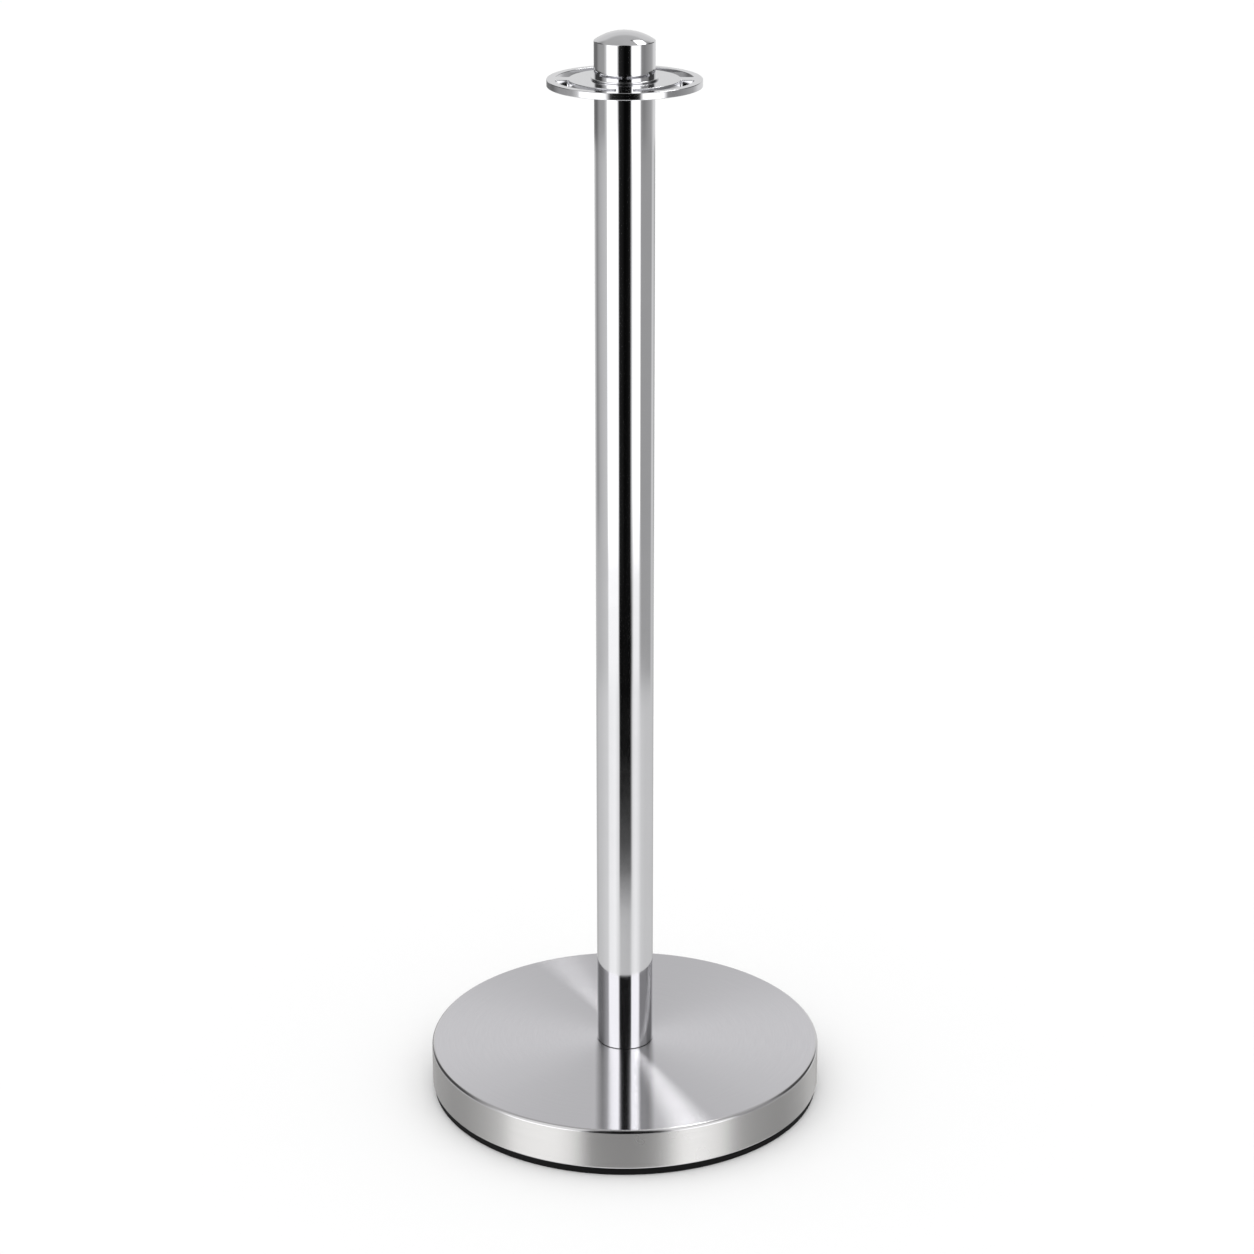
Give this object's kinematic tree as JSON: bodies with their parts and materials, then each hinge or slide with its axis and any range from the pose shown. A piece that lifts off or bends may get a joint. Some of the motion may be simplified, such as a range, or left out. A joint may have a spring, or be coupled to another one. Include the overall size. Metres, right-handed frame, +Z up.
{
  "type": "rope barrier stanchion",
  "caption": "Free-standing rope barrier post: weighted round base, polished tube, slotted ring plate for rope hooks, domed screw cap.",
  "frame": {"origin": "centre of the base's rubber foot, at floor level", "axes": "+Z up along the pole; +X and +Y point along two of the ring plate's bridges"},
  "size_m": [0.3546, 0.3546, 0.9689],
  "materials": {
    "floor_ring_rubber": "matt moulded",
    "cast_concrete": "cast, rough",
    "zinc_plated_steel": "bright zinc plate",
    "base_brushed_stainless": "brushed, concentric on top",
    "gasket_rubber": "matt",
    "spring_steel": "oiled",
    "pole_polished_stainless": "mirror polished",
    "mill_steel": "as machined",
    "turned_steel": "fine turned",
    "natural_nylon": "satin",
    "ring_polished_stainless": "polished",
    "cap_polished_stainless": "mirror polished"
  },
  "bodies": {
    "base": {"rubber_floor_ring": "floor_ring_rubber", "base_weight": "cast_concrete", "base_core_sleeve": "zinc_plated_steel", "base_cover": "base_brushed_stainless", "foot_gasket": "gasket_rubber", "base_clamp_plate": "zinc_plated_steel", "base_spring_washer": "spring_steel"},
    "base_bolt": {"base_bolt": "zinc_plated_steel"},
    "pole": {"pole_tube": "pole_polished_stainless", "pole_bottom_plug": "mill_steel", "pole_top_plug": "mill_steel", "head_stud": "zinc_plated_steel", "stud_jam_nut": "zinc_plated_steel", "neck_sleeve": "turned_steel", "lower_thrust_washer": "natural_nylon"},
    "ring_plate": {"rope_ring_plate": "ring_polished_stainless", "ring_bush": "natural_nylon"},
    "collar": {"cap_collar": "cap_polished_stainless", "wave_washer": "spring_steel"},
    "cap": {"cap_shell": "cap_polished_stainless", "cap_boss": "mill_steel", "cap_closing_disc": "mill_steel"}
  },
  "joints": [
    {"name": "bolt_turn", "type": "hinge", "parent": "base", "child": "base_bolt", "pos_m": [0, 0, 0.02], "axis": [0, 0, -1], "range_deg": [0, 4320]},
    {"name": "pole_lift", "type": "slide", "parent": "base", "child": "pole", "axis": [0, 0, 1], "range_m": [0, 0.021]},
    {"name": "ring_plate_swivel", "type": "hinge", "parent": "pole", "child": "ring_plate", "pos_m": [0, 0, 0.9262], "axis": [0, 0, 1], "continuous": true},
    {"name": "cap_lift", "type": "slide", "parent": "pole", "child": "collar", "axis": [0, 0, 1], "range_m": [0, 0.0225]},
    {"name": "cap_turn", "type": "hinge", "parent": "collar", "child": "cap", "pos_m": [0, 0, 0.9308], "axis": [0, 0, 1], "range_deg": [0, 5400]}
  ],
  "couplings": [
    {"joint": "bolt_turn", "follows": "pole_lift", "rad_per_m": 3590.4},
    {"joint": "cap_turn", "follows": "cap_lift", "rad_per_m": 4188.8}
  ]
}
